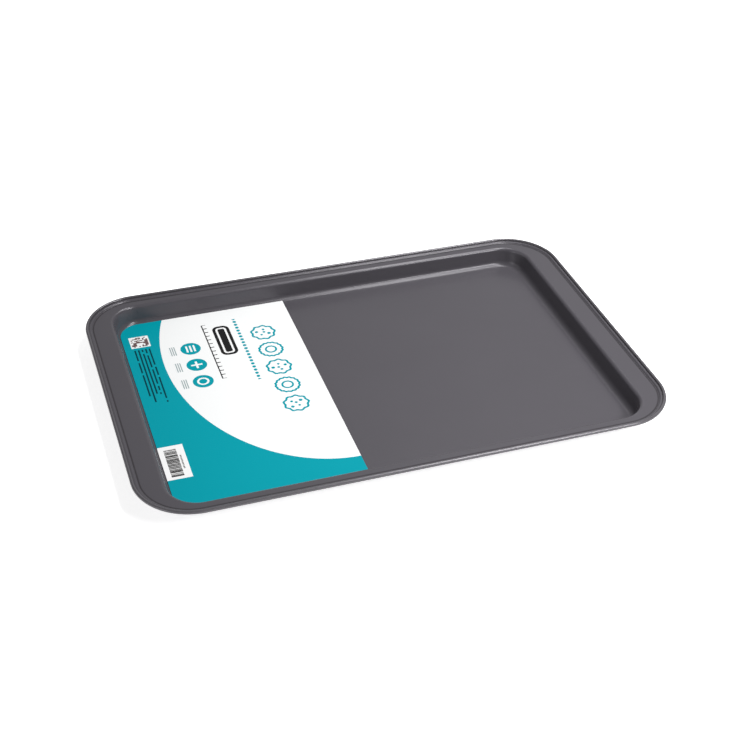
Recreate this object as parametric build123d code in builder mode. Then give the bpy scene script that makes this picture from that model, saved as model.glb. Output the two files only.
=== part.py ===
from build123d import *
import math
import os

# Cookie sheet: one shallow tray pressed from steel sheet, its edge curled over a wire,
# and the printed card that lies in it. Millimetres. X runs along the length, Y across
# the width and Z up. The origin is the centre of the underside, on the surface that
# the tray stands on. Every bend is given by its inside radius, and bend_margin is the
# flat stretch that a bent band of the sheet keeps beyond its last bend.

# Tray outline and sheet
tray_length = 411.0
tray_width = 279.0
tray_corner_radius = 43.5
sheet_thickness = 0.5

# Well, the pressed hollow. The flat rim's widths and the well's corner radius are
# measured in plan at the sharp line where the wall would meet the rim.
end_rim_width = 23.1
side_rim_width = 13.0
well_corner_radius = 23.0
well_depth = 15.4
wall_lean = 10.0
cove_radius = 5.0
lip_radius = 2.5
bend_margin = 0.5

# Rim edge, from the flat rim outwards: a step up to a narrow ledge, a groove, the curl
step_height = 1.1
step_run = 1.0
step_foot_radius = 0.75
step_head_radius = 0.35
ledge_width = 1.65
groove_radius = 0.1
groove_straight = 0.1
curl_opening = 55.0

# Reinforcing wire that the curl is rolled around
wire_diameter = 1.6
wire_clearance = 0.1

# Printed card in the well, pushed up to the cove at the left end
card_length = 140.8
card_thickness = 0.4
card_end_clearance = 0.3
card_side_clearance = 1.6

# Adhesive foam dots under the card, one near each corner
dot_diameter = 10.0
dot_thickness = 0.8
dot_end_inset = 16.0
dot_side_inset = 22.0

# Paper label stuck on the card, flush with the card's left edge
sticker_length = 18.7
sticker_width = 38.4
sticker_thickness = 0.1
sticker_front_inset = 38.0

# Middle line of the sheet: radii of the bends and heights of the flat stretches
half_sheet = sheet_thickness / 2
cove_bend = cove_radius + half_sheet
lip_bend = lip_radius + half_sheet
step_foot_bend = step_foot_radius + half_sheet
step_head_bend = step_head_radius + half_sheet
groove_bend = groove_radius + half_sheet
curl_bend = wire_diameter / 2 + wire_clearance + half_sheet
floor_middle_z = half_sheet
rim_middle_z = floor_middle_z + well_depth
ledge_middle_z = rim_middle_z + step_height
curl_axis_z = ledge_middle_z + groove_bend + groove_straight
tray_height = curl_axis_z + curl_bend + half_sheet

# Plan of the well, at its sharp line and at both ends of its two bends
well_length = tray_length - 2 * end_rim_width
well_width = tray_width - 2 * side_rim_width
wall_run = well_depth * math.tan(math.radians(wall_lean))
bend_tangent_share = math.tan(math.radians(45.0 - wall_lean / 2))
floor_inset = wall_run + cove_bend * bend_tangent_share
floor_length = well_length - 2 * floor_inset
floor_width = well_width - 2 * floor_inset
floor_corner_radius = well_corner_radius - floor_inset
lip_inset = lip_bend * bend_tangent_share
opening_length = well_length + 2 * lip_inset
opening_width = well_width + 2 * lip_inset
opening_corner_radius = well_corner_radius + lip_inset

# Plan of the rim edge, as distances inwards from the tray's outer edge
curl_axis_inset = curl_bend + half_sheet
groove_inset = curl_axis_inset + curl_bend
step_head_inset = groove_inset + ledge_width
step_foot_inset = step_head_inset + step_run
flat_rim_inset = step_foot_inset + step_foot_bend
flat_rim_length = tray_length - 2 * flat_rim_inset
flat_rim_width = tray_width - 2 * flat_rim_inset
flat_rim_corner_radius = tray_corner_radius - flat_rim_inset

# Upright axes that the rounded corners of the rim and of the well turn about
rim_corner_x = tray_length / 2 - tray_corner_radius
rim_corner_y = tray_width / 2 - tray_corner_radius
well_corner_x = well_length / 2 - well_corner_radius
well_corner_y = well_width / 2 - well_corner_radius

# Seat of the card: how far the cove lets its underside reach beyond the flat floor
seat_reach = math.sqrt(cove_radius**2 - (cove_radius - dot_thickness) ** 2)
seat_length = floor_length + 2 * seat_reach
seat_width = floor_width + 2 * seat_reach
seat_corner_radius = floor_corner_radius + seat_reach

# Card, dots and paper label
card_width = seat_width - 2 * card_side_clearance
card_corner_radius = seat_corner_radius - card_side_clearance
card_left_x = card_end_clearance - seat_length / 2
card_middle_x = card_left_x + card_length / 2
dots_bottom_z = sheet_thickness
card_bottom_z = dots_bottom_z + dot_thickness
sticker_bottom_z = card_bottom_z + card_thickness
sticker_middle_x = card_left_x + sticker_length / 2
sticker_middle_y = sticker_front_inset + sticker_width / 2 - card_width / 2


def well_section(plane):
    """The sheet from the floor up the wall to the flat rim."""
    with BuildSketch(plane) as section:
        with BuildLine():
            FilletPolyline(
                (floor_corner_radius - bend_margin, floor_middle_z),
                (well_corner_radius - wall_run, floor_middle_z),
                (well_corner_radius, rim_middle_z),
                (opening_corner_radius + bend_margin, rim_middle_z),
                radius=[cove_bend, lip_bend],
            )
        trace(line_width=sheet_thickness)
    return section.sketch


def rim_section(plane):
    """The sheet from the flat rim up the step, along the ledge and round the curl."""
    curl_start = (tray_corner_radius - groove_inset, curl_axis_z)
    curl_axis = (tray_corner_radius - curl_axis_inset, curl_axis_z)
    with BuildSketch(plane) as section:
        with BuildLine():
            FilletPolyline(
                (flat_rim_corner_radius, rim_middle_z),
                (tray_corner_radius - step_foot_inset, rim_middle_z),
                (tray_corner_radius - step_head_inset, ledge_middle_z),
                (tray_corner_radius - groove_inset, ledge_middle_z),
                curl_start,
                radius=[step_foot_bend, step_head_bend, groove_bend],
            )
            CenterArc(curl_axis, curl_bend, start_angle=180, arc_size=curl_opening - 360)
        trace(line_width=sheet_thickness)
    return section.sketch


def wire_section(plane):
    with BuildSketch(plane) as section:
        with Locations((tray_corner_radius - curl_axis_inset, curl_axis_z)):
            Circle(wire_diameter / 2)
    return section.sketch


def quarter_band(section, corner_x, corner_y):
    """Half a long side, half an end and the rounded corner between them.

    The section is drawn from the corner's upright axis outwards.
    """
    across_side = Plane(origin=(corner_x, corner_y, 0), x_dir=(0, 1, 0), z_dir=(1, 0, 0))
    across_end = Plane(origin=(corner_x, corner_y, 0), x_dir=(1, 0, 0), z_dir=(0, -1, 0))
    corner_axis = Axis((corner_x, corner_y, 0), (0, 0, -1))
    extrude(section(across_side), amount=corner_x, dir=(-1, 0, 0))
    extrude(section(across_end), amount=corner_y, dir=(0, -1, 0))
    revolve(section(across_side), axis=corner_axis, revolution_arc=90)


# Tray: the walls and the rim edge, a quarter at a time, then the floor and flat rim
with BuildPart() as tray:
    quarter_band(well_section, well_corner_x, well_corner_y)
    quarter_band(rim_section, rim_corner_x, rim_corner_y)
    mirror(about=Plane.YZ)
    mirror(about=Plane.XZ)
    with BuildSketch(Plane.XY):
        RectangleRounded(
            floor_length - 2 * bend_margin,
            floor_width - 2 * bend_margin,
            floor_corner_radius - bend_margin,
        )
    extrude(amount=sheet_thickness)
    with BuildSketch(Plane.XY.offset(rim_middle_z - half_sheet)):
        RectangleRounded(flat_rim_length, flat_rim_width, flat_rim_corner_radius)
        RectangleRounded(
            opening_length + 2 * bend_margin,
            opening_width + 2 * bend_margin,
            opening_corner_radius + bend_margin,
            mode=Mode.SUBTRACT,
        )
    extrude(amount=sheet_thickness)

# Wire inside the curl, right round the tray
with BuildPart() as rim_wire:
    quarter_band(wire_section, rim_corner_x, rim_corner_y)
    mirror(about=Plane.YZ)
    mirror(about=Plane.XZ)

# Card: its left corners follow the well's corners, its right corners are square
with BuildPart() as label_card:
    with BuildSketch(Plane.XY.offset(card_bottom_z)) as card_outline:
        with Locations((card_middle_x, 0)):
            Rectangle(card_length, card_width)
        left_corners = card_outline.vertices().group_by(Axis.X)[0]
        fillet(left_corners, radius=card_corner_radius)
    extrude(amount=card_thickness)

# Paper label on the card
with BuildPart() as barcode_sticker:
    with BuildSketch(Plane.XY.offset(sticker_bottom_z)):
        with Locations((sticker_middle_x, sticker_middle_y)):
            Rectangle(sticker_length, sticker_width)
    extrude(amount=sticker_thickness)

# Adhesive dots between the floor and the card
glue_dots = []
dot_x = card_length / 2 - dot_end_inset
dot_y = card_width / 2 - dot_side_inset
for side_x, side_y in [(-1, -1), (1, -1), (-1, 1), (1, 1)]:
    dot_place = (card_middle_x + side_x * dot_x, side_y * dot_y)
    with BuildPart() as glue_dot:
        with BuildSketch(Plane.XY.offset(dots_bottom_z)):
            with Locations(dot_place):
                Circle(dot_diameter / 2)
        extrude(amount=dot_thickness)
    glue_dot.part.label = f"glue_dot_{len(glue_dots) + 1}"
    glue_dots.append(glue_dot.part)

tray.part.label = "tray"
rim_wire.part.label = "rim_wire"
label_card.part.label = "label_card"
barcode_sticker.part.label = "barcode_sticker"

os.makedirs("parts", exist_ok=True)
export_step(tray.part, "parts/tray.step")
export_step(rim_wire.part, "parts/rim_wire.step")
export_step(label_card.part, "parts/label_card.step")
export_step(barcode_sticker.part, "parts/barcode_sticker.step")
for glue_dot_part in glue_dots:
    export_step(glue_dot_part, f"parts/{glue_dot_part.label}.step")

print(f"tray {tray_length:.1f} x {tray_width:.1f} x {tray_height:.2f}")
print(f"floor {floor_length:.2f} x {floor_width:.2f}, corners {floor_corner_radius:.2f}")
print(f"card {card_length:.1f} x {card_width:.2f}, left edge at x {card_left_x:.2f}")
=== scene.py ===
import bpy
import bmesh
import math
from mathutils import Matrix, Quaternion, Vector


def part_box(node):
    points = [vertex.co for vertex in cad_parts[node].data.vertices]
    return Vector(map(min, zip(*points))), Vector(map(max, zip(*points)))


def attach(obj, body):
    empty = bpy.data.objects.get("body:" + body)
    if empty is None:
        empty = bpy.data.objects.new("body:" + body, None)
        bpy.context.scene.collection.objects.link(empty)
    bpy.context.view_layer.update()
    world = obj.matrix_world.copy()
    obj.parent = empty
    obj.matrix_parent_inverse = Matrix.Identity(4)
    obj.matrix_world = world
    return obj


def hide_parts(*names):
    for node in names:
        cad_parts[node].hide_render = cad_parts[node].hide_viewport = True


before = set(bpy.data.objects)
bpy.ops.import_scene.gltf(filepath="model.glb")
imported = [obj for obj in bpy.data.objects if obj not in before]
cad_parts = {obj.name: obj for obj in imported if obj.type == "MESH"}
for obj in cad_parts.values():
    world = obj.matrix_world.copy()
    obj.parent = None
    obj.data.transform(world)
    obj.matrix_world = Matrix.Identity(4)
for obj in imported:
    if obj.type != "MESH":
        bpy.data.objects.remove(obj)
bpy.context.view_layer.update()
print("frame loaded")

mm = 0.001
perMetre = 1000.0  # millimetres in a metre


class Value:
    # one node socket, so that a sum on sockets reads as plain maths and adds its own nodes
    def __init__(self, tree, socket=None):
        self.tree = tree
        self.socket = socket

    def node(self, kind, settings=None, values=None, output=0):
        made = self.tree.nodes.new(kind)
        for name, setting in (settings or {}).items():
            if name == "choices":
                for _ in range(setting - len(made.index_switch_items)):
                    made.index_switch_items.new()
            else:
                setattr(made, name, setting)
        for name, value in (values or {}).items():
            feed(self.tree, made.inputs[name], value)
        return Value(self.tree, made.outputs[output] if made.outputs else None)

    def maths(self, operation, *values, clamp=False):
        settings = {"operation": operation, "use_clamp": clamp}
        return self.node("ShaderNodeMath", settings, dict(enumerate(values)))

    def __add__(self, other):
        return self.maths("ADD", self, other)

    def __radd__(self, other):
        return self.maths("ADD", other, self)

    def __sub__(self, other):
        return self.maths("SUBTRACT", self, other)

    def __rsub__(self, other):
        return self.maths("SUBTRACT", other, self)

    def __mul__(self, other):
        return self.maths("MULTIPLY", self, other)

    def __rmul__(self, other):
        return self.maths("MULTIPLY", other, self)

    def __truediv__(self, other):
        return self.maths("DIVIDE", self, other)

    def __mod__(self, other):
        return self.maths("FLOORED_MODULO", self, other)

    def __abs__(self):
        return self.maths("ABSOLUTE", self)

    def __lt__(self, other):
        return self.maths("LESS_THAN", self, other)

    def __gt__(self, other):
        return self.maths("GREATER_THAN", self, other)

    def floor(self):
        return self.maths("FLOOR", self)

    def sign(self):
        return self.maths("SIGN", self)

    def sine(self):
        return self.maths("SINE", self)

    def cosine(self):
        return self.maths("COSINE", self)

    def squareRoot(self):
        return self.maths("SQRT", self)


def feed(tree, socket, value):
    # a link, several links into one socket, or a plain value
    if isinstance(value, list):
        for one in value:
            tree.links.new(one.socket, socket)
    elif isinstance(value, Value):
        tree.links.new(value.socket, socket)
    else:
        socket.default_value = value


def larger(first, *others):
    for other in others:
        first = first.maths("MAXIMUM", first, other)
    return first


def smaller(first, *others):
    for other in others:
        first = first.maths("MINIMUM", first, other)
    return first


def between(share, low, high):
    return low + share * (high - low)


# Geometry Nodes: a tree with named inputs, and the plain mesh that it grows
socketKinds = {float: "NodeSocketFloat", int: "NodeSocketInt", bpy.types.Material: "NodeSocketMaterial"}


def startTree(name, inputs):
    tree = bpy.data.node_groups.new(name, "GeometryNodeTree")
    tree.interface.new_socket("Mesh", in_out="OUTPUT", socket_type="NodeSocketGeometry")
    for word, value in inputs.items():
        tree.interface.new_socket(word, in_out="INPUT", socket_type=socketKinds[type(value)])
    entry = tree.nodes.new("NodeGroupInput")
    return {word: Value(tree, entry.outputs[word]) for word in inputs}


def endTree(mesh, material):
    real = mesh.node("GeometryNodeRealizeInstances", {}, {"Geometry": mesh})
    finished = real.node("GeometryNodeSetMaterial", {}, {"Geometry": real, "Material": material})
    exitNode = mesh.tree.nodes.new("NodeGroupOutput")
    feed(mesh.tree, exitNode.inputs[0], finished)


def bakeModifiers(piece):
    graph = bpy.context.evaluated_depsgraph_get()
    mesh = bpy.data.meshes.new_from_object(piece.evaluated_get(graph))
    piece.modifiers.clear()
    piece.data = mesh
    return piece


def growPiece(name, tree, inputs):
    piece = bpy.data.objects.new(name, bpy.data.meshes.new(name))
    bpy.context.scene.collection.objects.link(piece)
    grower = piece.modifiers.new("grow", "NODES")
    grower.node_group = tree
    for item in tree.interface.items_tree:
        if item.in_out == "INPUT":
            grower[item.identifier] = inputs[item.name]
    return bakeModifiers(piece)


# Materials: shared helpers, then one function for each finish
def newMaterial(name):
    material = bpy.data.materials.new(name)
    material.use_nodes = True
    material.node_tree.nodes.clear()
    place = Value(material.node_tree).node("ShaderNodeTexCoord", output="Object")
    return material, place


def closeMaterial(material, place, shader):
    surface = place.node("ShaderNodeBsdfPrincipled", {}, shader)
    place.node("ShaderNodeOutputMaterial", {}, {"Surface": surface})
    return material


def noise(place, scale, detail=3.0):
    values = {"Vector": place, "Scale": scale, "Detail": detail}
    return place.node("ShaderNodeTexNoise", {}, values)


def mixColours(share, low, high):
    values = {0: share, 6: low, 7: high}
    return share.node("ShaderNodeMix", {"data_type": "RGBA"}, values, output=2)


def bump(height, distance, strength):
    values = {"Height": height, "Distance": distance, "Strength": strength}
    return height.node("ShaderNodeBump", {}, values)


def axesOf(place):
    split = place.node("ShaderNodeSeparateXYZ", {}, {"Vector": place})
    outputs = split.socket.node.outputs
    return [Value(place.tree, outputs[axis]) for axis in range(3)]


def hypotenuse(x, y):
    return (x * x + y * y).squareRoot()


def inBox(x, y, halfX, halfY):
    return larger(abs(x) - halfX, abs(y) - halfY) < 0.0


def roundedBox(x, y, halfX, halfY, corner):
    # distance from the edge of a box with rounded corners, negative inside it
    outX, outY = abs(x) - (halfX - corner), abs(y) - (halfY - corner)
    beyond = hypotenuse(larger(outX, 0.0), larger(outY, 0.0))
    return beyond + smaller(larger(outX, outY), 0.0) - corner


coatingLook = {
    "dark": (0.081, 0.076, 0.087, 1.0),
    "light": (0.096, 0.090, 0.103, 1.0),
    # painted highlight: the lighter tone laid over the rolled edge
    "edge": (0.125, 0.119, 0.131, 1.0),
    "edgeHighlightFade": 0.8 * mm,
    # painted shade: the dark tone laid in the groove and at the step's foot
    "paintedShade": (0.022, 0.020, 0.023, 1.0),
    "paintedShades": [  # inwards from the tray's outer edge
        {"inset": 2.7 * mm, "reach": 0.7 * mm, "depth": 0.5},
        {"inset": 6.0 * mm, "reach": 1.0 * mm, "depth": 0.85},
    ],
    "metallic": (0.12, 0.25),
    "roughness": (0.21, 0.29),
    "gloss": 0.27,
    "mottlePerMetre": 16.0,
    "mottleShare": 0.5,
    "peelPerMetre": 650.0,
    "peelShare": 0.7,
    "grainPerMetre": 2400.0,
    "fineDetail": 2.0,
    "bumpHeight": 0.05 * mm,
    "bumpStrength": 0.35,
}


def coatedSteel():
    look, size = coatingLook, traySizes
    material, place = newMaterial("nonstickCoating")
    mottle = noise(place, look["mottlePerMetre"])
    peel = noise(place, look["peelPerMetre"], look["fineDetail"])
    grain = noise(place, look["grainPerMetre"], look["fineDetail"])
    coat = mixColours(between(look["mottleShare"], grain, mottle), look["dark"], look["light"])
    # painted highlight: a lighter tone over the rolled edge, above the ledge, where the finish is also
    # more metallic
    x, y, z = axesOf(place)
    height = z - (size["sheet"] + size["depth"] + size["stepHeight"])
    edge = height.maths("DIVIDE", height, look["edgeHighlightFade"], clamp=True)
    tone = mixColours(edge, coat, look["edge"])
    # painted shade: darker in the groove and at the foot of the step, on the upper face
    upper = z > size["sheet"] / 2.0 + size["depth"]
    outside = roundedBox(x, y, size["length"] / 2.0, size["width"] / 2.0, size["rimCorner"])
    for paintedShade in look["paintedShades"]:
        away = abs(outside + paintedShade["inset"]) / paintedShade["reach"]
        near = larger(1.0 - away, 0.0) * upper
        tone = mixColours(near * paintedShade["depth"], tone, look["paintedShade"])
    return closeMaterial(material, place, {
        "Base Color": tone,
        "Metallic": between(edge, *look["metallic"]),
        "Specular IOR Level": look["gloss"],
        "Roughness": between(grain, *look["roughness"]),
        "Normal": bump(between(look["peelShare"], grain, peel), look["bumpHeight"], look["bumpStrength"]),
    })


wireLook = {
    "tone": (0.42, 0.42, 0.43, 1.0),
    "scratch": (0.30, 0.30, 0.31, 1.0),
    "drawnPerMetre": 3000.0,
    "roughness": (0.32, 0.47),
    "bumpHeight": 0.02 * mm,
    "bumpStrength": 0.4,
}


def drawnSteel():
    look = wireLook
    material, place = newMaterial("drawnSteel")
    drawn = noise(place, look["drawnPerMetre"])
    return closeMaterial(material, place, {
        "Base Color": mixColours(drawn, look["scratch"], look["tone"]),
        "Metallic": 1.0,
        "Roughness": between(drawn, *look["roughness"]),
        "Normal": bump(drawn, look["bumpHeight"], look["bumpStrength"]),
    })


# Camera: a pinhole solved from the photograph's four straight rim lines
cameraPlan = {
    "place": (-288.8 * mm, -832.2 * mm, 644.8 * mm),
    "target": (5.4 * mm, -1.7 * mm, 0.0),
    "roll": 1.57,
    "focalPixels": 1376.5,
    "framePixels": 750.0,
    "sensor": 36.0,
}


def makeCamera():
    plan = cameraPlan
    data = bpy.data.cameras.new("camera")
    data.sensor_width = plan["sensor"]
    data.lens = plan["sensor"] * plan["focalPixels"] / plan["framePixels"]
    camera = bpy.data.objects.new("camera", data)
    bpy.context.scene.collection.objects.link(camera)
    aim = Vector(plan["target"]) - Vector(plan["place"])
    roll = Quaternion((0.0, 0.0, 1.0), math.radians(plan["roll"]))
    camera.rotation_mode = "QUATERNION"
    camera.rotation_quaternion = aim.to_track_quat("-Z", "Y") @ roll
    camera.location = plan["place"]
    bpy.context.scene.camera = camera
    print("camera set")


# Light: two soft boxes over the right-hand side, and a dim surround with a few glows in it
lightPlan = {
    "boxes": {
        "overRight": {"place": (0.40, 0.0, 1.0), "sizeX": 0.3, "sizeY": 1.2, "power": 13.0},
        "frontRight": {"place": (0.70, -0.95, 1.0), "sizeX": 0.3, "sizeY": 0.6, "power": 15.0},
    },
    "surround": 0.02,
    "glows": {
        "back": {"turn": 60.0, "rise": 45.0, "glow": 0.6, "focus": 20.0},
        "lowBack": {"turn": 75.0, "rise": 8.0, "glow": 0.9, "focus": 8.0},
        "lowLeft": {"turn": 180.0, "rise": 8.0, "glow": 1.2, "focus": 8.0},
        "front": {"turn": -80.0, "rise": 15.0, "glow": 0.3, "focus": 8.0},
        "window": {"turn": -152.0, "rise": 6.0, "glow": 6.0, "focus": 80.0},
    },
}


def makeBox(name, box):
    data = bpy.data.lights.new(name, "AREA")
    data.shape = "RECTANGLE"
    data.size, data.size_y = box["sizeX"], box["sizeY"]
    data.energy = box["power"]
    lamp = bpy.data.objects.new(name, data)
    bpy.context.scene.collection.objects.link(lamp)
    lamp.location = box["place"]


def makeSurround():
    world = bpy.data.worlds.new("surround")
    world.use_nodes = True
    world.node_tree.nodes.clear()
    view = Value(world.node_tree).node("ShaderNodeTexCoord", output="Generated")
    strength = view.node("ShaderNodeValue")
    strength.socket.default_value = lightPlan["surround"]
    for glow in lightPlan["glows"].values():
        turn, rise = math.radians(glow["turn"]), math.radians(glow["rise"])
        level = math.cos(rise)
        aim = (level * math.cos(turn), level * math.sin(turn), math.sin(rise))
        pair = {0: view, 1: aim}
        facing = view.node("ShaderNodeVectorMath", {"operation": "DOT_PRODUCT"}, pair, output="Value")
        fall = (facing - 1.0) * glow["focus"]
        strength = strength + fall.maths("EXPONENT", fall) * glow["glow"]
    backdrop = view.node("ShaderNodeBackground", {}, {"Strength": strength})
    view.node("ShaderNodeOutputWorld", {}, {"Surface": backdrop})
    bpy.context.scene.world = world


def makeLights():
    bpy.context.scene.view_settings.view_transform = "Standard"
    for name, box in lightPlan["boxes"].items():
        makeBox(name, box)
    makeSurround()
    print("lights set")


stagePlan = {
    "halfSize": 6.0,
    "drop": 0.05 * mm,
    "tone": (0.93, 0.93, 0.93, 1.0),
    "roughness": 0.7,
    "glow": 0.85,
    "paperPerMetre": 300.0,
    "bumpHeight": 0.05 * mm,
    "bumpStrength": 0.1,
}


def makeStage():
    plan = stagePlan
    half = plan["halfSize"]
    corners = [(-half, -half), (half, -half), (half, half), (-half, half)]
    mesh = bpy.data.meshes.new("stageFloor")
    mesh.from_pydata([(x, y, -plan["drop"]) for x, y in corners], [], [(0, 1, 2, 3)])
    floor = bpy.data.objects.new("stageFloor", mesh)
    bpy.context.scene.collection.objects.link(floor)
    material, place = newMaterial("paleFloor")
    paper = noise(place, plan["paperPerMetre"])
    mesh.materials.append(closeMaterial(material, place, {
        "Base Color": plan["tone"],
        "Roughness": plan["roughness"],
        "Emission Color": plan["tone"],
        "Emission Strength": plan["glow"],
        "Normal": bump(paper, plan["bumpHeight"], plan["bumpStrength"]),
    }))
    print("stage floor made")


# Tray: one skin of sheet, swept from its section round the well's and the rim's corners
trayLow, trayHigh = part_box("tray")
traySizes = {
    "length": trayHigh.x - trayLow.x,
    "width": trayHigh.y - trayLow.y,
    "rimCorner": 43.5 * mm,
    "sheet": 0.5 * mm,
    "endRim": 23.1 * mm,
    "sideRim": 13.0 * mm,
    "wellCorner": 23.0 * mm,
    "depth": 15.4 * mm,
    "lean": math.radians(10.0),
    "cove": 5.0 * mm,
    "lip": 2.5 * mm,
    "stepHeight": 1.1 * mm,
    "stepRun": 1.0 * mm,
    "stepFoot": 0.75 * mm,
    "stepHead": 0.35 * mm,
    "ledge": 1.65 * mm,
    "groove": 0.1 * mm,
    "grooveStraight": 0.1 * mm,
    "wire": 1.6 * mm,
    "wireClearance": 0.1 * mm,
    "curlSweep": math.radians(305.0),
    "flatMargin": 0.15 * mm,  # flat stretch beyond each bend of the wall
    "mergeDistance": 0.01 * mm,
    "cornerSteps": 32,
    "bendSteps": 10,
    "curlSteps": 28,
}


def sectionCorners(size):
    # corners of the sheet's middle line as (outwards, height, bend radius), seen across a long side
    half = size["sheet"] / 2.0
    cove, lip = size["cove"] + half, size["lip"] + half
    foot, head, groove = size["stepFoot"] + half, size["stepHead"] + half, size["groove"] + half
    curl = size["wire"] / 2.0 + size["wireClearance"] + half
    floorHeight = half
    rimHeight = floorHeight + size["depth"]
    ledgeHeight = rimHeight + size["stepHeight"]
    curlHeight = ledgeHeight + groove + size["grooveStraight"]
    curlOut = size["width"] / 2.0 - half - curl
    grooveOut = curlOut - curl
    headOut = grooveOut - size["ledge"]
    footOut = headOut - size["stepRun"]
    wellOut = size["width"] / 2.0 - size["sideRim"]
    sine, cosine = size["lean"].sine(), size["lean"].cosine()
    share = cosine / (1.0 + sine)  # tangent of half the bend's turn
    coveReach = cove * share + size["flatMargin"]
    lipReach = lip * share + size["flatMargin"]
    floorOut = wellOut - size["depth"] * sine / cosine
    corners = [
        (wellOut - size["wellCorner"], floorHeight, 0.0),
        (floorOut - coveReach, floorHeight, 0.0),
        (floorOut, floorHeight, cove),
        (floorOut + coveReach * sine, floorHeight + coveReach * cosine, 0.0),
        (wellOut - lipReach * sine, rimHeight - lipReach * cosine, 0.0),
        (wellOut, rimHeight, lip),
        (wellOut + lipReach, rimHeight, 0.0),
        (footOut - foot, rimHeight, 0.0),
        (footOut, rimHeight, foot),
        (headOut, ledgeHeight, head),
        (headOut + head, ledgeHeight, 0.0),
        (grooveOut, ledgeHeight, groove),
        (grooveOut, curlHeight, 0.0),
    ]
    return corners, (curlOut, curlHeight, curl), (wellOut + lipReach + footOut) / 2.0


def trayTree(inputs):
    size = startTree("pressedTray", inputs)
    corners, (curlOut, curlHeight, curl), rimMiddle = sectionCorners(size)
    start = size["length"]
    index = start.node("GeometryNodeInputIndex")
    # the section as a polyline, bent to its radii
    line = start.node("GeometryNodeMeshLine", {}, {"Count": len(corners)})
    places = {"Index": index}
    radii = {"Index": index}
    for number, (outwards, height, radius) in enumerate(corners):
        places[number + 1] = start.node("ShaderNodeCombineXYZ", {}, {"X": outwards, "Y": height})
        radii[number + 1] = radius
    choice = {"data_type": "VECTOR", "choices": len(corners)}
    place = start.node("GeometryNodeIndexSwitch", choice, places)
    choice = {"data_type": "FLOAT", "choices": len(corners)}
    radius = start.node("GeometryNodeIndexSwitch", choice, radii)
    line = start.node("GeometryNodeSetPosition", {}, {"Geometry": line, "Position": place})
    curve = start.node("GeometryNodeMeshToCurve", {}, {"Mesh": line})
    bends = {"Curve": curve, "Count": size["bendSteps"], "Radius": radius}
    curve = start.node("GeometryNodeFilletCurve", {"mode": "POLY"}, bends)
    counted = {"component": "CURVE"}
    bentCount = start.node("GeometryNodeAttributeDomainSize", counted, {"Geometry": curve}, "Point Count")
    # a grid, with the section along its first side and the way round the tray along its second
    perCorner = size["cornerSteps"] + 1.0
    around = perCorner * 4.0 + 1.0  # the last column closes the ring
    sides = {"Vertices X": bentCount + size["curlSteps"], "Vertices Y": around}
    grid = start.node("GeometryNodeMeshGrid", {}, sides)
    row = (index / around).floor()
    column = index - row * around
    quarter = (column / perCorner).floor()
    step = column - quarter * perCorner
    turn = (quarter + step / size["cornerSteps"]) * (math.pi / 2.0)
    diagonal = (quarter + 0.5) * (math.pi / 2.0)
    sideX, sideY = diagonal.cosine().sign(), diagonal.sine().sign()
    # each row's place on the section: on the bent polyline, then round the curl
    position = start.node("GeometryNodeInputPosition")
    sample = {"Geometry": curve, "Value": position, "Index": row}
    bent = start.node("GeometryNodeSampleIndex", {"data_type": "FLOAT_VECTOR"}, sample)
    bentOut, bentHeight, _ = axesOf(bent)
    curled = row > (bentCount - 0.5)
    curlTurn = math.pi - (row - bentCount + 1.0) / size["curlSteps"] * size["curlSweep"]
    outwards = between(curled, bentOut, curlOut + curl * curlTurn.cosine())
    height = between(curled, bentHeight, curlHeight + curl * curlTurn.sine())
    onRim = outwards > rimMiddle
    wellCornerX = size["length"] / 2.0 - size["endRim"] - size["wellCorner"]
    wellCornerY = size["width"] / 2.0 - size["sideRim"] - size["wellCorner"]
    cornerX = between(onRim, wellCornerX, size["length"] / 2.0 - size["rimCorner"])
    cornerY = between(onRim, wellCornerY, size["width"] / 2.0 - size["rimCorner"])
    reach = outwards - cornerY
    x = sideX * cornerX + reach * turn.cosine()
    y = sideY * cornerY + reach * turn.sine()
    spot = start.node("ShaderNodeCombineXYZ", {}, {"X": x, "Y": y, "Z": height})
    band = start.node("GeometryNodeSetPosition", {}, {"Geometry": grid, "Position": spot})
    # the middle of the floor closes the hole inside the first row
    middle = {"Size X": wellCornerX * 2.0, "Size Y": wellCornerY * 2.0, "Vertices X": 2, "Vertices Y": 2}
    patch = start.node("GeometryNodeMeshGrid", {}, middle)
    lift = start.node("ShaderNodeCombineXYZ", {}, {"Z": size["sheet"] / 2.0})
    patch = start.node("GeometryNodeTransform", {}, {"Geometry": patch, "Translation": lift})
    whole = start.node("GeometryNodeJoinGeometry", {}, {"Geometry": [band, patch]})
    merge = {"Geometry": whole, "Distance": size["mergeDistance"]}
    whole = start.node("GeometryNodeMergeByDistance", {}, merge)
    whole = start.node("GeometryNodeSetShadeSmooth", {}, {"Geometry": whole, "Shade Smooth": True})
    endTree(whole, size["finish"])
    return start.tree


def makeTray():
    inputs = dict(traySizes)
    inputs["finish"] = coatedSteel()
    tray = growPiece("pressed_tray", trayTree(inputs), inputs)
    thick = tray.modifiers.new("thick", "SOLIDIFY")
    thick.thickness = traySizes["sheet"]
    thick.offset = 0.0
    bakeModifiers(tray)
    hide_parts("tray")
    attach(tray, "pan")
    print("tray made:", len(tray.data.polygons), "faces")


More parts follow.
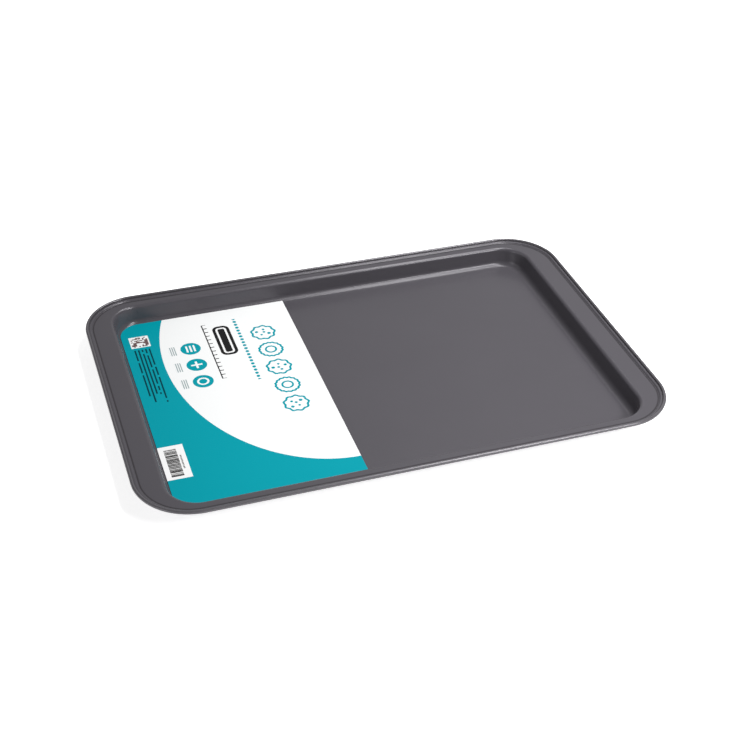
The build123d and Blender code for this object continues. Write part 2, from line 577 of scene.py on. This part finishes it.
# Label card: a printed card on the floor, rounded at the left end like the floor itself
cardLow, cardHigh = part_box("label_card")
cardPlan = {"corner": 16.99 * mm, "cornerSteps": 24}
cardPrint = {  # places and sizes on the card in millimetres
    "ink": {
        "paper": (0.93, 0.94, 0.94, 1.0),
        "board": (0.50, 0.47, 0.42, 1.0),
        "teal": (0.0, 0.325, 0.395, 1.0),
        "deepTeal": (0.0, 0.05, 0.065, 1.0),
        "black": (0.015, 0.015, 0.016, 1.0),
        "white": (0.93, 0.94, 0.94, 1.0),
        "brown": (0.16, 0.10, 0.10, 1.0),
        "grey": (0.32, 0.40, 0.41, 1.0),
    },
    "sweep": {"x": -35.8, "y": 56.7, "across": 115.6, "along": 152.2},
    "biscuits": {
        "x": -64.7, "start": -20.7, "pitch": 25.0, "count": 5, "radius": 9.3, "line": 1.9,
        "waves": 9.0, "waveDepth": 0.55, "moreWaves": 7.0, "lessDepth": 0.25,
        "ring": 4.2, "ringLine": 1.6, "spin": 1.3,
        "chips": [(0.6, 5.0, 1.5), (2.4, 4.2, 1.2), (3.9, 5.4, 1.4), (5.2, 3.6, 1.1), (1.5, 0.9, 1.2)],
    },
    "beads": {"x": -83.7, "start": 17.3, "end": 105.3, "pitch": 4.4, "radius": 1.5},
    "tray": {
        "x": -97.2, "y": 77.3, "halfX": 7.0, "halfY": 21.0, "corner": 4.0, "line": 2.6,
        "inset": 4.2, "innerCorner": 1.6,
    },
    "ruler": {"x": -111.2, "start": 26.3, "end": 103.3, "line": 1.0, "pitch": 5.5, "tick": 3.4},
    "discs": {
        "x": -126.7, "start": 27.3, "pitch": 23.0, "count": 3, "radius": 8.2,
        "ring": 4.0, "ringLine": 1.6, "plusReach": 4.6, "plusHalf": 0.9,
        "stripPlace": 3.0, "stripHalf": 0.75, "stripReach": 4.4,
    },
    "captions": {
        "x": -141.5, "start": 27.3, "pitch": 23.0, "count": 3, "halfX": 2.6, "halfY": 6.0,
        "row": 1.7, "rowShare": 0.5,
    },
    "patch": {
        "x": -164.2, "y": 94.3, "cell": 1.35, "cells": 10.0, "border": 1.1,
        "darkShare": 0.5, "seed": 3.0,
    },
    "lines": {
        "x": -164.2, "start": 9.3, "end": 83.3, "pitch": 2.9, "count": 5, "thick": 1.3,
        "ragged": 14.0, "wordsPerMm": 0.35, "space": 0.07,
    },
    "printDepth": 0.05,
    "grain": {"scale": 900.0, "tint": 0.025, "height": 0.01 * mm, "strength": 0.4},
    "roughness": (0.40, 0.52),
    "gloss": 0.05,
}


def repeated(y, plan):
    # place within one repeat, from its middle, and the number of the repeat
    along = (y - plan["start"]) / plan["pitch"] + 0.5
    number = along.floor()
    return (along - number - 0.5) * plan["pitch"], number


def inRow(number, plan):
    return smaller(number > -0.5, number < plan["count"] - 0.5)


def biscuitRow(x, y, plan):
    x = x - plan["x"]
    y, number = repeated(y, plan)
    # every other biscuit is a ring with finer waves, the rest have chips
    odd = number % 2.0
    spin = x.maths("ARCTAN2", y, x)
    reach = hypotenuse(x, y)
    wave = (spin * (plan["waves"] + odd * plan["moreWaves"])).cosine()
    edge = plan["radius"] + wave * (plan["waveDepth"] - odd * plan["lessDepth"])
    marks = abs(reach - edge) < plan["line"] / 2.0
    for turn, far, size in plan["chips"]:
        angle = number * plan["spin"] + turn
        chip = hypotenuse(x - angle.cosine() * far, y - angle.sine() * far) < size
        marks = larger(marks, chip * (1.0 - odd))
    inner = abs(reach - plan["ring"]) < plan["ringLine"] / 2.0
    return smaller(larger(marks, inner * odd), inRow(number, plan))


def beadRow(x, y, plan):
    within = smaller(y > plan["start"], y < plan["end"])
    y, _ = repeated(y, plan)
    return smaller(hypotenuse(x - plan["x"], y) < plan["radius"], within)


def trayPicture(x, y, plan):
    x, y = x - plan["x"], y - plan["y"]
    half = plan["line"] / 2.0
    outer = abs(roundedBox(x, y, plan["halfX"] - half, plan["halfY"] - half, plan["corner"])) < half
    inset = plan["inset"]
    inner = roundedBox(x, y, plan["halfX"] - inset, plan["halfY"] - inset, plan["innerCorner"]) < 0.0
    return larger(outer, inner)


def ruler(x, y, plan):
    x = x - plan["x"]
    within = smaller(y > plan["start"], y < plan["end"])
    line = abs(x) < plan["line"] / 2.0
    y, _ = repeated(y, plan)
    tick = inBox(x - plan["tick"] / 2.0, y, plan["tick"] / 2.0, plan["line"] / 2.0)
    return smaller(larger(line, tick), within)


def discRow(x, y, plan):
    x = x - plan["x"]
    y, number = repeated(y, plan)
    reach = hypotenuse(x, y)
    disc = smaller(reach < plan["radius"], inRow(number, plan))
    ring = abs(reach - plan["ring"]) < plan["ringLine"] / 2.0
    long, thin = plan["plusReach"], plan["plusHalf"]
    plus = larger(inBox(x, y, long, thin), inBox(x, y, thin, long))
    strip = smaller(abs(x), abs(abs(x) - plan["stripPlace"])) < plan["stripHalf"]
    strips = smaller(strip, abs(y) < plan["stripReach"])
    # the first disc has a ring, the second a plus and the third strips
    second = smaller(number > 0.5, number < 1.5)
    motif = larger(ring * (number < 0.5), plus * second, strips * (number > 1.5))
    return disc, smaller(motif, disc)


def captionRows(x, y, plan):
    # thin rows beside each disc
    x = x - plan["x"]
    y, number = repeated(y, plan)
    stripe = x / plan["row"] % 1.0 < plan["rowShare"]
    return smaller(stripe, inBox(x, y, plan["halfX"], plan["halfY"]), inRow(number, plan))


def cellPatch(x, y, plan):
    x, y = x - plan["x"], y - plan["y"]
    half = plan["cell"] * plan["cells"] / 2.0
    cellX, cellY = (x + half) / plan["cell"], (y + half) / plan["cell"]
    spot = x.node("ShaderNodeCombineXYZ", {}, {0: cellX.floor(), 1: cellY.floor(), 2: plan["seed"]})
    random = x.node("ShaderNodeTexWhiteNoise", {"noise_dimensions": "3D"}, {"Vector": spot})
    dark = smaller(random < plan["darkShare"], inBox(x, y, half, half))
    edge = half + plan["border"]
    return inBox(x, y, edge, edge), dark


def textLines(x, y, plan):
    # plain bars, broken up into pieces of varied length
    across = (x - plan["x"]) / plan["pitch"] + plan["count"] / 2.0
    line = across.floor()
    band = abs(across - line - 0.5) * plan["pitch"] < plan["thick"] / 2.0
    word = y * plan["wordsPerMm"]
    spot = x.node("ShaderNodeCombineXYZ", {}, {0: line, 1: word.floor()})
    spaces = x.node("ShaderNodeTexWhiteNoise", {"noise_dimensions": "2D"}, {"Vector": spot})
    length = x.node("ShaderNodeTexWhiteNoise", {"noise_dimensions": "1D"}, {"W": line})
    within = smaller(y < plan["end"], y > plan["start"] + length * plan["ragged"])
    return smaller(band, inRow(line, plan), within, spaces > plan["space"])


def printedCard():
    plan = cardPrint
    ink = plan["ink"]
    material, place = newMaterial("printedCard")
    x, y, z = [axis * perMetre for axis in axesOf(place)]
    sweep = plan["sweep"]
    outside = hypotenuse((x - sweep["x"]) / sweep["across"], (y - sweep["y"]) / sweep["along"]) > 1.0
    disc, discMotif = discRow(x, y, plan["discs"])
    patch, cells = cellPatch(x, y, plan["patch"])
    layers = [
        (larger(outside, disc, biscuitRow(x, y, plan["biscuits"]), beadRow(x, y, plan["beads"])), "teal"),
        (larger(trayPicture(x, y, plan["tray"]), ruler(x, y, plan["ruler"])), "black"),
        (captionRows(x, y, plan["captions"]), "grey"),
        (larger(discMotif, patch), "white"),
        (cells, "brown"),
        (textLines(x, y, plan["lines"]), "deepTeal"),
        (z < cardHigh.z * perMetre - plan["printDepth"], "board"),
    ]
    tone = ink["paper"]
    for share, name in layers:
        tone = mixColours(share, tone, ink[name])
    grain = noise(place, plan["grain"]["scale"])
    shade = 1.0 - grain * plan["grain"]["tint"]
    tone = tone.node("ShaderNodeVectorMath", {"operation": "SCALE"}, {0: tone, "Scale": shade})
    return closeMaterial(material, place, {
        "Base Color": tone,
        "Roughness": between(grain, *plan["roughness"]),
        "Specular IOR Level": plan["gloss"],
        "Normal": bump(grain, plan["grain"]["height"], plan["grain"]["strength"]),
    })


def makeCard():
    low, high, corner = cardLow, cardHigh, cardPlan["corner"]
    # the square right corners, then the round left ones from the back to the front
    outline = [(high.x, low.y), (high.x, high.y)]
    for side, start in [(1.0, 90.0), (-1.0, 180.0)]:
        axisX, axisY = low.x + corner, side * (high.y - corner)
        for step in range(cardPlan["cornerSteps"] + 1):
            turn = math.radians(start + 90.0 * step / cardPlan["cornerSteps"])
            outline.append((axisX + corner * math.cos(turn), axisY + corner * math.sin(turn)))
    shape = bmesh.new()
    under = [shape.verts.new((x, y, low.z)) for x, y in outline]
    face = shape.faces.new(under)
    grown = bmesh.ops.extrude_face_region(shape, geom=[face])["geom"]
    lifted = [part for part in grown if isinstance(part, bmesh.types.BMVert)]
    bmesh.ops.translate(shape, vec=(0.0, 0.0, high.z - low.z), verts=lifted)
    bmesh.ops.recalc_face_normals(shape, faces=shape.faces)
    mesh = bpy.data.meshes.new("label_sheet")
    shape.to_mesh(mesh)
    shape.free()
    card = bpy.data.objects.new("label_sheet", mesh)
    bpy.context.scene.collection.objects.link(card)
    mesh.materials.append(printedCard())
    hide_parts("label_card")
    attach(card, "label")
    print("card made")


# Paper label with a bar pattern, and the adhesive dots under the card
stickerPrint = {  # places and sizes on the label in millimetres
    "paper": (0.93, 0.93, 0.93, 1.0),
    "ink": (0.02, 0.018, 0.018, 1.0),
    "bars": {
        "x": -169.3, "y": -63.9, "halfX": 4.6, "halfY": 16.0,
        "pitch": 1.5, "thinShare": 0.45, "thickShare": 0.95,
    },
    "caption": {"x": -162.9, "y": -63.9, "halfX": 0.6, "halfY": 8.0, "dash": 1.6, "dashShare": 0.6},
    "fibres": {"scale": 1200.0, "height": 0.01 * mm, "strength": 0.4},
    "roughness": (0.55, 0.70),
    "gloss": 0.05,
}
glueLook = {
    "clear": (0.62, 0.58, 0.46, 1.0),
    "cloudy": (0.75, 0.72, 0.62, 1.0),
    "cloudPerMetre": 500.0,
    "roughness": (0.25, 0.45),
    "bumpHeight": 0.03 * mm,
    "bumpStrength": 0.6,
}


def stickerPaper():
    plan = stickerPrint
    material, place = newMaterial("stickerPaper")
    x, y, _ = [axis * perMetre for axis in axesOf(place)]
    bars, caption = plan["bars"], plan["caption"]
    step = y / bars["pitch"]
    number = step.floor()
    random = x.node("ShaderNodeTexWhiteNoise", {"noise_dimensions": "1D"}, {"W": number})
    bar = step - number < between(random, bars["thinShare"], bars["thickShare"])
    dark = smaller(bar, inBox(x - bars["x"], y - bars["y"], bars["halfX"], bars["halfY"]))
    dashes = y / caption["dash"] % 1.0 < caption["dashShare"]
    strip = smaller(dashes, inBox(x - caption["x"], y - caption["y"], caption["halfX"], caption["halfY"]))
    fibres = noise(place, plan["fibres"]["scale"])
    tone = mixColours(larger(dark, strip), plan["paper"], plan["ink"])
    return closeMaterial(material, place, {
        "Base Color": tone,
        "Roughness": between(fibres, *plan["roughness"]),
        "Specular IOR Level": plan["gloss"],
        "Normal": bump(fibres, plan["fibres"]["height"], plan["fibres"]["strength"]),
    })


def softGlue():
    look = glueLook
    material, place = newMaterial("softGlue")
    cloud = noise(place, look["cloudPerMetre"])
    return closeMaterial(material, place, {
        "Base Color": mixColours(cloud, look["clear"], look["cloudy"]),
        "Roughness": between(cloud, *look["roughness"]),
        "Normal": bump(cloud, look["bumpHeight"], look["bumpStrength"]),
    })


def dress(node, material):
    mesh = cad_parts[node].data
    mesh.materials.clear()
    mesh.materials.append(material)


def dressSmallPieces():
    dress("rim_wire", drawnSteel())
    dress("barcode_sticker", stickerPaper())
    glue = softGlue()
    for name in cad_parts:
        if name.startswith("glue_dot"):
            dress(name, glue)
    print("small pieces dressed")


makeCamera()
makeLights()
makeStage()
makeTray()
makeCard()
dressSmallPieces()
